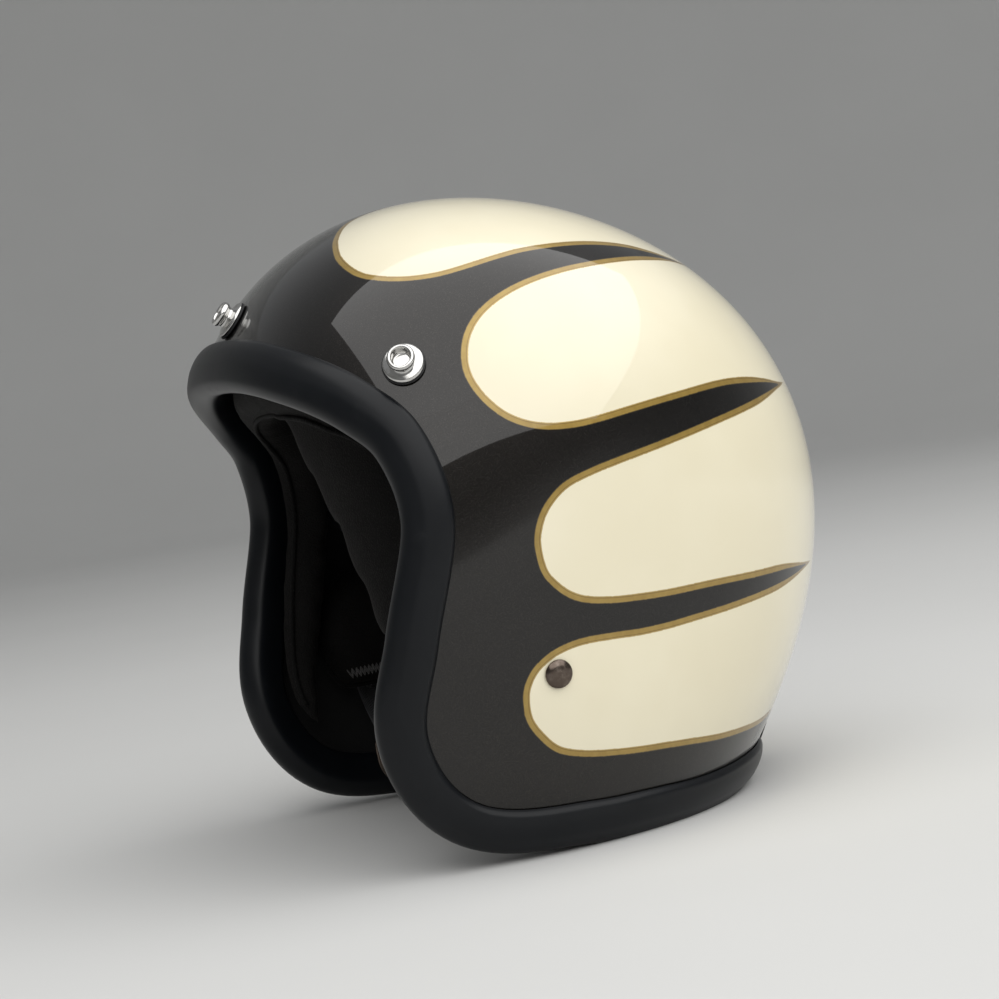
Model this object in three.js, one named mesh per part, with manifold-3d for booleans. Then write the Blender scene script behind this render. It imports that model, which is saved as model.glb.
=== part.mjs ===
// Open face motorcycle helmet: painted shell, rubber edge trim, foam liner, soft lining, brow snaps,
// chin strap with two D-rings, and a goggle strap at the nape. Millimetres, +Z up, the front faces -Y.
// Every piece is laid out round CENTRE, a point inside the head space, and the whole helmet is then
// leaned by STAND_TILT and lifted so that the trim stands on z = 0.
import * as THREE from 'three';
import { mergeVertices } from 'three/addons/utils/BufferGeometryUtils.js';
import Module from 'manifold-3d';

const wasm = await Module();
wasm.setup();

const V = (x, y, z) => new THREE.Vector3(x, y, z);
const DEG = Math.PI / 180;

// ---- driving dimensions ------------------------------------------------------------------
const STAND_TILT = 2;            // degrees, nose down, to bring the lower rim level
const STAND_HEIGHT = 120;        // from the floor up to CENTRE
const STAND_BACK = -24.7;        // brings the middle of the helmet over the origin
const SHELL_THICK = 4;
const SHELL_TUCK = 14;           // how far the shell runs on under the trim
const LINER_OUT = 5.3;            // depths below the paint: foam liner, then the soft lining
const LINER_IN = 28;
const LINING_OUT = 29.2;
const LINING_IN = 36.5;
const PAD_OUT = 13;              // cheek pads, set in from the shell so the straps pass behind
const PAD_IN = 35;
const STRAP_WIDE = 25;
const STRAP_THICK = 2;
const RING_WIRE = 2.8;
const RING_WIDE = 30.6;          // between wire centres
const RING_TALL = 22;
const GOGGLE_WIDE = 20;
const GOGGLE_THICK = 1.8;

// Distance from CENTRE to the paint: a ball of 152.5, flattened and stretched along the axes.
const BALL = 152.5;
const SHORTER_BACK = -11.5;
const SHORTER_UP = -22;
const NARROW = -22;
const FLAT_ENDS = -22;
const LEAN = 12.5;
const WIDE_ABOVE = 24.5;
const LONG_BACK = 28;
const FLAT_SIDES = -13;
const FULL_CROWN = 8;
const WIDE_BACK = 3;

// The edge of the paint, where the trim begins, as [degrees round from the front, degrees up].
const OPENING = [[0, 46.6], [21, 44.8], [38.4, 40], [57.7, 30.4], [67.3, 20.5], [70.2, 4.5],
  [63.9, -15.1], [59.2, -28.6], [65.2, -39.5], [87.7, -44.7], [112, -47.2], [147.5, -46.8], [180, -45.1]];
// The foam liner stops above the ears, where the cheek pads take over.
const LINER_EDGE = [[0, 48.5], [21, 46.8], [38, 42.5], [55, 35.5], [68, 24], [76, 7], [88, -5],
  [104, -10], [122, -22], [142, -40], [160, -44], [180, -44]];

// Where the fittings sit, as [degrees round, degrees up].
const SNAP_SPOTS = { left: [65.7, 31.5], centre: [0, 50.7], right: [-65.7, 31.5] };
const RIVET_SPOTS = { left: [83.3, -24.1], right: [-83.3, -24.1] };
const GOGGLE_SPOT = [180, -32.5];

// ---- the shell surface -------------------------------------------------------------------
function aim(round, up) {
  const a = round * DEG;
  const e = up * DEG;
  return V(Math.sin(a) * Math.cos(e), -Math.cos(a) * Math.cos(e), Math.sin(e));
}

function reach(d) {
  const xx = d.x * d.x;
  return BALL + SHORTER_BACK * d.y + SHORTER_UP * d.z + NARROW * xx + FLAT_ENDS * d.y * d.y
    + LEAN * d.y * d.z + WIDE_ABOVE * xx * d.z + LONG_BACK * d.y ** 3 + FLAT_SIDES * xx * xx
    + FULL_CROWN * d.y * d.y * d.z + WIDE_BACK * xx * d.y;
}

function onShell(d) {
  return d.clone().multiplyScalar(reach(d));
}

function outward(d) {
  const side = new THREE.Vector3().crossVectors(d, Math.abs(d.z) < 0.9 ? V(0, 0, 1) : V(1, 0, 0)).normalize();
  const along = new THREE.Vector3().crossVectors(d, side);
  const step = 0.01;
  const a = onShell(d.clone().addScaledVector(side, step).normalize());
  const b = onShell(d.clone().addScaledVector(side, -step).normalize());
  const c = onShell(d.clone().addScaledVector(along, step).normalize());
  const e = onShell(d.clone().addScaledVector(along, -step).normalize());
  const n = new THREE.Vector3().crossVectors(a.sub(b), c.sub(e)).normalize();
  return n.dot(d) < 0 ? n.negate() : n;
}

function below(d, depth) {
  return onShell(d).addScaledVector(outward(d), -depth);
}

// Directions evenly spaced round a left and right symmetric edge, starting at the brow.
function edgeLoop(half, count) {
  const left = half.map(([a, e]) => onShell(aim(a, e)));
  const right = half.slice(1, -1).reverse().map(([a, e]) => onShell(aim(-a, e)));
  const curve = new THREE.CatmullRomCurve3([...left, ...right], true, 'catmullrom', 0.5);
  curve.arcLengthDivisions = 2000;
  return curve.getSpacedPoints(count).slice(0, count).map((p) => p.normalize());
}

// At each step of an edge: a point on the paint, the way out of the shell, and the way into the opening.
function edgeFrames(dirs, closed = true) {
  const points = dirs.map((d) => onShell(d));
  return dirs.map((d, i) => {
    const n = points.length;
    const before = points[closed ? (i + n - 1) % n : Math.max(i - 1, 0)];
    const after = points[closed ? (i + 1) % n : Math.min(i + 1, n - 1)];
    const out = outward(d);
    const into = new THREE.Vector3().crossVectors(after.clone().sub(before), out).normalize();
    if (into.dot(TOP_BACK) > 0) into.negate();
    return { at: points[i], out, into };
  });
}

// A point so far into the opening, measured along the shell's own curve, and so far out from it.
function fromEdge(frame, into, out) {
  const d = frame.at.clone().addScaledVector(frame.into, into).normalize();
  return onShell(d).addScaledVector(outward(d), out);
}

const TOP_BACK = V(0, Math.SQRT1_2, Math.SQRT1_2);

function swing(from, to, t) {
  const angle = from.angleTo(to);
  const s = Math.sin(angle);
  return from.clone().multiplyScalar(Math.sin((1 - t) * angle) / s)
    .addScaledVector(to, Math.sin(t * angle) / s).normalize();
}

// ---- closed bodies from rows of points ---------------------------------------------------
function solid(points, faces) {
  const g = new THREE.BufferGeometry();
  g.setAttribute('position', new THREE.Float32BufferAttribute(points.flatMap((p) => [p.x, p.y, p.z]), 3));
  g.setIndex(faces);
  const p = g.attributes.position;
  let volume = 0;
  for (let i = 0; i < faces.length; i += 3) {
    const [a, b, c] = [0, 1, 2].map((k) => new THREE.Vector3().fromBufferAttribute(p, faces[i + k]));
    volume += a.dot(b.cross(c));
  }
  if (volume < 0) {
    for (let i = 0; i < faces.length; i += 3) [faces[i], faces[i + 1]] = [faces[i + 1], faces[i]];
    g.setIndex(faces);
  }
  g.computeVertexNormals();
  return g;
}

// Rings of points joined one to the next; an open run is closed by a fan at each end.
function loft(rings, closed) {
  const n = rings[0].length;
  const points = rings.flat();
  const faces = [];
  const last = closed ? rings.length : rings.length - 1;
  for (let i = 0; i < last; i += 1) {
    const a = i * n;
    const b = ((i + 1) % rings.length) * n;
    for (let k = 0; k < n; k += 1) {
      const m = (k + 1) % n;
      faces.push(a + k, a + m, b + m, a + k, b + m, b + k);
    }
  }
  if (!closed) {
    for (const [first, flip] of [[0, true], [(rings.length - 1) * n, false]]) {
      const middle = points.length;
      const sum = V(0, 0, 0);
      for (let k = 0; k < n; k += 1) sum.add(points[first + k]);
      points.push(sum.divideScalar(n));
      for (let k = 0; k < n; k += 1) {
        const m = (k + 1) % n;
        if (flip) faces.push(first + m, first + k, middle);
        else faces.push(first + k, first + m, middle);
      }
    }
  }
  return solid(points, faces);
}

// A bowl between two depths under the paint: rows out to an edge loop, then any loops beyond it.
function bowl(dirs, rows, depthOut, depthIn, beyond = []) {
  const n = dirs.length;
  const loops = [];
  for (let r = 1; r <= rows; r += 1) loops.push(dirs.map((d) => swing(TOP_BACK, d, r / rows)));
  loops.push(...beyond);
  const rings = [
    ...loops.map((loop) => loop.map((d) => below(d, depthOut))),
    ...loops.reverse().map((loop) => loop.map((d) => below(d, depthIn))),
  ];
  const points = rings.flat();
  const faces = [];
  for (let i = 0; i + 1 < rings.length; i += 1) {
    for (let k = 0; k < n; k += 1) {
      const m = (k + 1) % n;
      faces.push(i * n + k, i * n + m, (i + 1) * n + m, i * n + k, (i + 1) * n + m, (i + 1) * n + k);
    }
  }
  const crown = points.length;
  points.push(below(TOP_BACK, depthOut), below(TOP_BACK, depthIn));
  const end = (rings.length - 1) * n;
  for (let k = 0; k < n; k += 1) {
    const m = (k + 1) % n;
    faces.push(m, k, crown, end + k, end + m, crown + 1);
  }
  return solid(points, faces);
}

// ---- cutting and joining -----------------------------------------------------------------
function toManifold(geometry) {
  let g = geometry.clone();
  g.deleteAttribute('normal');
  g.deleteAttribute('uv');
  g = mergeVertices(g, 1e-4);
  const triVerts = [];
  const index = g.index.array;
  for (let i = 0; i < index.length; i += 3) {
    const [a, b, c] = [index[i], index[i + 1], index[i + 2]];
    if (a !== b && b !== c && c !== a) triVerts.push(a, b, c);
  }
  const mesh = new wasm.Mesh({
    numProp: 3,
    vertProperties: new Float32Array(g.attributes.position.array),
    triVerts: new Uint32Array(triVerts),
  });
  return new wasm.Manifold(mesh);
}

function fromManifold(m) {
  const mesh = m.getMesh();
  const g = new THREE.BufferGeometry();
  g.setAttribute('position', new THREE.Float32BufferAttribute(mesh.vertProperties, 3));
  g.setIndex(Array.from(mesh.triVerts));
  g.computeVertexNormals();
  return g;
}

function cut(geometry, tools) {
  let m = toManifold(geometry);
  for (const tool of tools) m = m.subtract(toManifold(tool));
  return fromManifold(m);
}

function join(...parts) {
  return fromManifold(parts.map(toManifold).reduce((a, b) => a.add(b)));
}

// ---- materials and meshes ----------------------------------------------------------------
const helmet = new THREE.Group();
helmet.name = 'open_face_helmet';
helmet.rotation.x = STAND_TILT * DEG;
helmet.position.set(0, STAND_BACK, STAND_HEIGHT);

function piece(name, geometry, color, roughness, metalness) {
  const mesh = new THREE.Mesh(geometry, new THREE.MeshStandardMaterial({ color, roughness, metalness }));
  mesh.name = name;
  helmet.add(mesh);
  return mesh;
}

// A frame standing on the paint: Y points straight out of the shell, Z as near upward as it can.
function fittingFrame(spot) {
  const d = aim(...spot);
  const out = outward(d);
  const side = new THREE.Vector3().crossVectors(out, V(0, 0, 1)).normalize();
  const up = new THREE.Vector3().crossVectors(side, out).normalize();
  return new THREE.Matrix4().makeBasis(side, out, up).setPosition(onShell(d));
}

function turned(profile, steps = 18) {
  return new THREE.LatheGeometry(profile.map(([r, h]) => new THREE.Vector2(r, h)), steps);
}

function drum(radius, low, high) {
  return turned([[0, low], [radius, low], [radius, high], [0, high]], 18);
}

// A flat band over the edge at the back, along points given as [into the opening, out from the paint].
function napeBand(path, wide, thick, steps) {
  const curve = new THREE.CatmullRomCurve3(path.map(([into, out]) => fromEdge(nape, into, out)));
  const rings = [];
  for (let i = 0; i <= steps; i += 1) {
    const p = curve.getPointAt(i / steps);
    const t = curve.getTangentAt(i / steps);
    const n = V(0, t.z, -t.y).multiplyScalar(thick / 2);
    const w = wide / 2;
    rings.push([V(-w, p.y + n.y, p.z + n.z), V(w, p.y + n.y, p.z + n.z),
      V(w, p.y - n.y, p.z - n.z), V(-w, p.y - n.y, p.z - n.z)]);
  }
  return loft(rings, false);
}

// ---- shell -------------------------------------------------------------------------------
const paintEdge = edgeLoop(OPENING, 60);
const edge = edgeFrames(paintEdge);
const tucked = [0.5, 1].map((t) => edge.map((f) => fromEdge(f, SHELL_TUCK * t, 0).normalize()));
const snapFrames = Object.fromEntries(Object.entries(SNAP_SPOTS).map(([k, s]) => [k, fittingFrame(s)]));
const rivetFrames = Object.fromEntries(Object.entries(RIVET_SPOTS).map(([k, s]) => [k, fittingFrame(s)]));
const goggleFrame = fittingFrame(GOGGLE_SPOT);
const allFrames = [...Object.values(snapFrames), ...Object.values(rivetFrames), goggleFrame];

const holes = allFrames.map((m) => drum(2.8, -12, 8).applyMatrix4(m));
piece('shell', cut(bowl(paintEdge, 11, 0, SHELL_THICK, tucked), holes), 0xf2e8c8, 0.2, 0);

// ---- edge trim: one U-section rubber beading round the whole edge --------------------------
const TRIM_SECTION = [[0.2, 0.35], [1.2, 2.6], [5, 4.3], [12, 4.5], [17.2, 3], [20, -0.6],
  [20.2, -5], [17.5, -9.2], [12, -10.8], [4.5, -10.4], [1, -8], [0.8, -4.7], [7, -4.8],
  [14.7, -4.7], [14.7, 0.35], [7, 0.35]];
const trimRings = edge.map((f) => TRIM_SECTION.map(([into, out]) => fromEdge(f, into, out)));
const floor = new THREE.BoxGeometry(400, 400, 40).translate(0, 0, -20)
  .applyMatrix4(new THREE.Matrix4().makeTranslation(0, 0, -STAND_HEIGHT))
  .applyMatrix4(new THREE.Matrix4().makeRotationX(-STAND_TILT * DEG));
const nape = edgeFrames(edgeLoop(OPENING, 400))[200];
const BAND_ANCHOR = [[3, -12.9], [10, -12.7], [16.6, -11.2], [19.9, -7.4], [20.6, -2.6], [19.5, 1.8],
  [17, 4.8], [12.4, 6.4]];
const groove = napeBand(BAND_ANCHOR, GOGGLE_WIDE + 1.2, GOGGLE_THICK + 1, 16);
piece('edge_trim', cut(loft(trimRings, true), [floor, groove]), 0x1d2024, 0.6, 0);

// ---- foam liner and soft lining ------------------------------------------------------------
const linerLoop = edgeLoop(LINER_EDGE, 44);
const pockets = [...Object.values(snapFrames), goggleFrame].map((m) => drum(7.5, -9.5, -2).applyMatrix4(m));
piece('impact_liner', cut(bowl(linerLoop, 9, LINER_OUT, LINER_IN), pockets), 0x2b2b2d, 0.95, 0);
piece('crown_lining', bowl(edgeLoop(LINER_EDGE, 36), 8, LINING_OUT, LINING_IN), 0x18181a, 0.95, 0);

// Padded rolls inside the face opening, from jaw over brow to jaw, and inside the nape. They taper to closed ends.
function roll(middle, span, steps, section, droop) {
  const dirs = [];
  const dense = edgeLoop(OPENING, 400);
  for (let i = 0; i <= steps; i += 1) {
    const k = Math.round(middle + span * (2 * i / steps - 1) + 400) % 400;
    dirs.push(dense[k]);
  }
  const frames = edgeFrames(dirs, false);
  const rings = frames.map((f, i) => {
    const t = 2 * i / steps - 1;
    const taper = Math.max(0.12, Math.sqrt(Math.max(0, 1 - t ** 6)));
    const sag = 1 + droop * Math.max(0, 1 - (t / 0.5) ** 2) ** 2;
    return section.map(([into, out]) => fromEdge(f, 5 + (into * (into > 0 ? sag : 1) - 5) * taper,
      -25 + (out + 25) * taper));
  });
  return loft(rings, false);
}
piece('brow_pad', roll(0, 108, 40, [[-1.5, -14], [4, -12.8], [10, -14], [14.5, -18], [16, -24], [14, -31],
  [8, -36.5], [2, -37.5], [-1.5, -36]], 0.5), 0x1b1b1d, 0.9, 0);
piece('neck_roll', roll(200, 50, 16, [[-1.5, -16], [4, -15], [10, -16], [14, -20], [15, -26], [12, -33],
  [6, -37], [1, -37.5], [-1.5, -36]], 0), 0x1b1b1d, 0.9, 0);

// Cheek pads: cushions below the liner, rounded off toward all four sides.
function cushion(side) {
  const across = 10;
  const down = 6;
  const front = [[78, -8], [68.5, -14], [65.5, -22], [70, -31]];
  const rear = [[105, -13], [112, -19], [112.5, -26], [105, -33]];
  const frontCurve = new THREE.CatmullRomCurve3(front.map(([a, e]) => V(a, e, 0)));
  const rearCurve = new THREE.CatmullRomCurve3(rear.map(([a, e]) => V(a, e, 0)));
  const grid = (depthAt) => {
    const rows = [];
    for (let j = 0; j <= down; j += 1) {
      const f = frontCurve.getPoint(j / down);
      const r = rearCurve.getPoint(j / down);
      const row = [];
      for (let i = 0; i <= across; i += 1) {
        const p = f.clone().lerp(r, i / across);
        const u = 2 * i / across - 1;
        const v = 2 * j / down - 1;
        const puff = Math.sqrt(Math.max(0, (1 - u ** 6) * (1 - v ** 6)));
        row.push(below(aim(side * p.x, p.y), depthAt(puff)));
      }
      rows.push(row);
    }
    return rows;
  };
  const middle = PAD_OUT + 6;
  const outer = grid((puff) => middle - (middle - PAD_OUT) * puff);
  const inner = grid((puff) => middle + 1.5 + (PAD_IN - middle - 1.5) * puff);
  const n = across + 1;
  const points = [...outer.flat(), ...inner.flat()];
  const half = n * (down + 1);
  const faces = [];
  for (let j = 0; j < down; j += 1) {
    for (let i = 0; i < across; i += 1) {
      const a = j * n + i;
      faces.push(a, a + 1, a + n + 1, a, a + n + 1, a + n);
      faces.push(half + a, half + a + n + 1, half + a + 1, half + a, half + a + n, half + a + n + 1);
    }
  }
  const rim = [];
  for (let i = 0; i < across; i += 1) rim.push(i);
  for (let j = 0; j < down; j += 1) rim.push(j * n + across);
  for (let i = across; i > 0; i -= 1) rim.push(down * n + i);
  for (let j = down; j > 0; j -= 1) rim.push(j * n);
  rim.forEach((a, k) => {
    const b = rim[(k + 1) % rim.length];
    faces.push(b, a, half + a, b, half + a, half + b);
  });
  return solid(points, faces);
}
piece('cheek_pad_left', cushion(1), 0x1b1b1d, 0.9, 0);
piece('cheek_pad_right', cushion(-1), 0x1b1b1d, 0.9, 0);

// ---- brow snaps ----------------------------------------------------------------------------
const SNAP_STUD = [[0, -7.8], [3.4, -7.8], [3.4, -6.8], [2.4, -6.6], [2.4, 1.2], [7.6, 1.2], [7.7, 1.9],
  [6.4, 2.7], [4.8, 3.2], [4.5, 4.2], [5.6, 5.4], [5.6, 6.8], [4.9, 7.6], [4, 7.6],
  [3.4, 7], [3.4, 3.4], [0, 3.4]];
const GASKET = [[2.9, 0.3], [8.1, 0.3], [8.1, 0.9], [2.9, 0.9], [2.9, 0.3]];
const BACKING = [[2.8, -6.4], [5.5, -6.4], [5.5, -5.2], [2.8, -5.2], [2.8, -6.4]];
for (const [side, frame] of Object.entries(snapFrames)) {
  piece(`brow_snap_${side}_stud`, turned(SNAP_STUD), 0xc9ccd0, 0.12, 1).applyMatrix4(frame);
  piece(`brow_snap_${side}_gasket`, turned(GASKET), 0x141416, 0.7, 0).applyMatrix4(frame);
  piece(`brow_snap_${side}_backing`, turned(BACKING, 14), 0xa8abae, 0.35, 1).applyMatrix4(frame);
}

// ---- chin strap ----------------------------------------------------------------------------
const STRAP_RIVET = [[0, -8.9], [4, -8.7], [4, -7.8], [2.4, -7.6], [2.4, 0.4], [5.3, 0.4], [5.2, 1.1],
  [4.2, 1.9], [2.4, 2.5], [0, 2.7]];

// Frame for one half of the strap: X runs along the strap's width, Y out through the rivet, Z down.
function strapFrame(side) {
  const m = rivetFrames[side];
  const x = V(0, 0, 0);
  const y = V(0, 0, 0);
  const z = V(0, 0, 0);
  m.extractBasis(x, y, z);
  return new THREE.Matrix4().makeBasis(x.negate(), y, z.negate()).setPosition(
    new THREE.Vector3().setFromMatrixPosition(m));
}

function hanger() {
  const s = new THREE.Shape();
  s.moveTo(-9, -7);
  s.quadraticCurveTo(-9, -9, -7, -9);
  s.lineTo(7, -9);
  s.quadraticCurveTo(9, -9, 9, -7);
  s.lineTo(9, 14);
  s.lineTo(-9, 14);
  s.closePath();
  const hole = new THREE.Path();
  hole.absarc(0, 0, 2.8, 0, Math.PI * 2, true);
  s.holes.push(hole);
  const g = new THREE.ExtrudeGeometry(s, { depth: 1.4, bevelEnabled: false, curveSegments: 8 });
  return g.applyMatrix4(new THREE.Matrix4().makeBasis(V(1, 0, 0), V(0, 0, 1), V(0, -1, 0)))
    .translate(0, -5.9, 0);
}

// Flat webbing along points given as [down from the rivet, inward from the paint].
function webbing(path, wide, thick, steps) {
  const curve = new THREE.CatmullRomCurve3(path.map(([down, inward]) => V(0, -inward, down)));
  const rings = [];
  for (let i = 0; i <= steps; i += 1) {
    const p = curve.getPointAt(i / steps);
    const t = curve.getTangentAt(i / steps);
    const n = V(0, t.z, -t.y).multiplyScalar(thick / 2);
    const w = wide / 2;
    rings.push([V(-w, p.y + n.y, p.z + n.z), V(w, p.y + n.y, p.z + n.z),
      V(w, p.y - n.y, p.z - n.z), V(-w, p.y - n.y, p.z - n.z)]);
  }
  return loft(rings, false);
}

const RING_SPOT = [42, 37];      // the middle of the D-ring loop: down from the rivet, inward
function ringLoop() {
  const s = new THREE.Shape();
  s.absarc(2, 0, 3.7, -Math.PI / 2, Math.PI / 2, false);
  s.absarc(-2, 0, 3.7, Math.PI / 2, Math.PI * 1.5, false);
  s.closePath();
  const hole = new THREE.Path();
  hole.absarc(1.75, 0, 1.85, -Math.PI / 2, Math.PI / 2, false);
  hole.absarc(-1.75, 0, 1.85, Math.PI / 2, Math.PI * 1.5, false);
  hole.closePath();
  s.holes.push(hole);
  const g = new THREE.ExtrudeGeometry(s, { depth: STRAP_WIDE, bevelEnabled: false, curveSegments: 8 });
  return g.translate(0, 0, -STRAP_WIDE / 2)
    .applyMatrix4(new THREE.Matrix4().makeBasis(V(0, 1, 0), V(0, 0, 1), V(1, 0, 0)))
    .translate(0, -RING_SPOT[1], RING_SPOT[0]);
}

function dRing(inward) {
  const r = RING_WIDE / 2;
  const rise = RING_TALL - r * 0.9;
  const half = [[r - 1.9, 0], [r - 0.5, 0.6], [r, 2], [r, rise]];
  for (let a = 15; a < 90; a += 15) half.push([r * Math.cos(a * DEG), rise + r * 0.9 * Math.sin(a * DEG)]);
  const mirrored = half.map(([x, y]) => [-x, y]).reverse();
  const spots = [...half, [0, RING_TALL], ...mirrored].map(([x, y]) => new THREE.Vector2(x, y));
  const n = spots.length;
  const rings = spots.map((p, i) => {
    const q = spots[(i + 1) % n].clone().sub(p).normalize()
      .add(p.clone().sub(spots[(i + n - 1) % n]).normalize()).normalize();
    const ring = [];
    for (let k = 0; k < 8; k += 1) {
      const a = k * Math.PI / 4;
      const c = Math.cos(a) * RING_WIRE / 2;
      ring.push(V(p.x + q.y * c, Math.sin(a) * RING_WIRE / 2, p.y - q.x * c));
    }
    return ring;
  });
  return loft(rings, true).translate(0, -inward, RING_SPOT[0]);
}

const strapPaths = {
  left: [[8, 8.6], [16, 9.8], [28, 14.5], [40, 21.3], [50, 27.6], [57, 34], [61.5, 44], [64.8, 60],
    [69.5, 90], [73.5, 123], [76, 155]],
  right: [[8, 8.6], [15, 9.6], [22, 12.5], [29, 18.5], [35, 25], [39.5, 30.3], [41.2, 32.9]],
};
for (const side of ['left', 'right']) {
  const frame = strapFrame(side);
  piece(`strap_rivet_${side}`, turned(STRAP_RIVET), 0x6f675c, 0.3, 1).applyMatrix4(rivetFrames[side]);
  piece(`strap_hanger_${side}`, hanger(), 0x8d9094, 0.4, 1).applyMatrix4(frame);
  const steps = side === 'left' ? 26 : 10;
  const web = webbing(strapPaths[side], STRAP_WIDE, STRAP_THICK, steps);
  piece(`chin_strap_${side}`, side === 'left' ? web : join(web, ringLoop()), 0x161618, 0.85, 0)
    .applyMatrix4(frame);
}
piece('d_ring_outer', dRing(RING_SPOT[1] - 1.7), 0x6f675c, 0.3, 1).applyMatrix4(strapFrame('right'));
piece('d_ring_inner', dRing(RING_SPOT[1] + 1.7), 0x6f675c, 0.3, 1).applyMatrix4(strapFrame('right'));

// ---- goggle strap at the nape --------------------------------------------------------------
piece('goggle_strap_anchor', napeBand(BAND_ANCHOR, GOGGLE_WIDE, GOGGLE_THICK, 16), 0x17171a, 0.7, 0);
piece('goggle_strap_flap', cut(napeBand([[11, 6.8], [4, 6.8], [-6, 5.8], [-18, 5],
  [-30, 5.2], [-42, 5.6]], GOGGLE_WIDE, GOGGLE_THICK, 14), [drum(5.2, -2, 12).applyMatrix4(goggleFrame)]),
0x17171a, 0.7, 0);
const GOGGLE_STUD = [[0, -7.8], [3.4, -7.8], [3.4, -6.8], [2.4, -6.6], [2.4, 0.7], [6, 0.7], [6, 1.3], [3, 1.6],
  [2.7, 3], [3.2, 3.8], [3, 4.6], [1.8, 5], [0, 5]];
const GOGGLE_CAP = [[0, 5.8], [4.2, 5.8], [4.4, 3.2], [5, 3.2], [5, 6.6], [6.6, 6.8], [6.5, 7.6], [5, 8.4],
  [2.6, 8.8], [0, 8.9]];
piece('goggle_snap_stud', turned(GOGGLE_STUD), 0xb9bcbf, 0.25, 1).applyMatrix4(goggleFrame);
piece('goggle_snap_backing', turned(BACKING, 14), 0xa8abae, 0.35, 1).applyMatrix4(goggleFrame);
piece('goggle_snap_cap', turned(GOGGLE_CAP), 0xb9bcbf, 0.25, 1).applyMatrix4(goggleFrame);

export default helmet;
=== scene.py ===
"""Open face motorcycle helmet: the looks of each piece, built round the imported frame.

The shell is laid out in millimetres round a point inside the head space, as a distance from that
point in every direction. `stand` then leans it level and lifts it onto the floor, in metres."""
import math

import bpy
import numpy as np
from mathutils import Matrix, Quaternion, Vector
from mathutils.bvhtree import BVHTree
from mathutils.kdtree import KDTree


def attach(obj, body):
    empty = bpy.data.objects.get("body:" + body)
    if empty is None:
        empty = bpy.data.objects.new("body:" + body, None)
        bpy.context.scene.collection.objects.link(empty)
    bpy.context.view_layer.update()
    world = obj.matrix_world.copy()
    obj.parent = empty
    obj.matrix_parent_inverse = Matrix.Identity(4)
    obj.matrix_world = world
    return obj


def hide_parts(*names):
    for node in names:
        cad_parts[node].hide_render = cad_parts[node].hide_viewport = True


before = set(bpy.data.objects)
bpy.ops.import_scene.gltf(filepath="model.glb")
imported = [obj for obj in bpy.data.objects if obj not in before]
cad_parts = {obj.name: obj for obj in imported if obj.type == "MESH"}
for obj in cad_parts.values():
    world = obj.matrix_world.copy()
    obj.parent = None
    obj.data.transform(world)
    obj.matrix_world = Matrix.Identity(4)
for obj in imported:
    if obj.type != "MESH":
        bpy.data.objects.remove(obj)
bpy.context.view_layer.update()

MM = 0.001
TILT = math.radians(2)
LIFT = 120.0
BACK = -24.7


# ---- places on the shell -------------------------------------------------------------------
def aim(round_deg, up_deg):
    """Direction so many degrees round from the front towards the wearer's left, and up."""
    a = np.radians(round_deg)
    e = np.radians(up_deg)
    return np.stack([np.sin(a) * np.cos(e), -np.cos(a) * np.cos(e), np.sin(e)], -1)


def unit(v):
    return v / np.linalg.norm(v, axis=-1, keepdims=True)


def reach(d):
    x, y, z = d[..., 0], d[..., 1], d[..., 2]
    xx = x * x
    return (152.5 - 11.5 * y - 22 * z - 22 * xx - 22 * y * y + 12.5 * y * z + 24.5 * xx * z
            + 28 * y ** 3 - 13 * xx * xx + 8 * y * y * z + 3 * xx * y)


def on_shell(d):
    return d * reach(d)[..., None]


def outward(d):
    up = np.where(np.abs(d[..., 2:3]) < 0.9, [0.0, 0.0, 1.0], [1.0, 0.0, 0.0])
    side = unit(np.cross(d, up))
    along = np.cross(d, side)
    step = 0.004
    a = on_shell(unit(d + side * step)) - on_shell(unit(d - side * step))
    b = on_shell(unit(d + along * step)) - on_shell(unit(d - along * step))
    n = unit(np.cross(a, b))
    return n * np.sign(np.sum(n * d, -1, keepdims=True))


def below(d, depth):
    return on_shell(d) - outward(d) * np.asarray(depth)[..., None]


def swing(a, b, t):
    angle = np.arccos(np.clip(np.sum(a * b, -1, keepdims=True), -1, 1))
    return unit((np.sin((1 - t) * angle) * a + np.sin(t * angle) * b) / np.sin(angle))


def stand(p):
    c, s = math.cos(TILT), math.sin(TILT)
    x, y, z = p[..., 0], p[..., 1], p[..., 2]
    return np.stack([x, c * y - s * z + BACK, s * y + c * z + LIFT], -1) * MM


STAND = (Matrix.Translation((0, BACK * MM, LIFT * MM)) @ Matrix.Rotation(TILT, 4, "X") @ Matrix.Scale(MM, 4))
TOP_BACK = np.array([0.0, math.sqrt(0.5), math.sqrt(0.5)])
OPENING = [(0, 46.6), (21, 44.8), (38.4, 40), (57.7, 30.4), (67.3, 20.5), (70.2, 4.5), (63.9, -15.1),
           (59.2, -28.6), (65.2, -39.5), (87.7, -44.7), (112, -47.2), (147.5, -46.8), (180, -45.1)]
LINER_EDGE = [(0, 48.5), (21, 46.8), (38, 42.5), (55, 35.5), (68, 24), (76, 7), (88, -5),
              (104, -10), (122, -22), (142, -40), (160, -44), (180, -44)]
SNAPS = {"left": (65.7, 31.5), "centre": (0, 50.7), "right": (-65.7, 31.5)}
RIVETS = {"left": (83.3, -24.1), "right": (-83.3, -24.1)}
GOGGLE = (180, -32.5)


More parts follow.
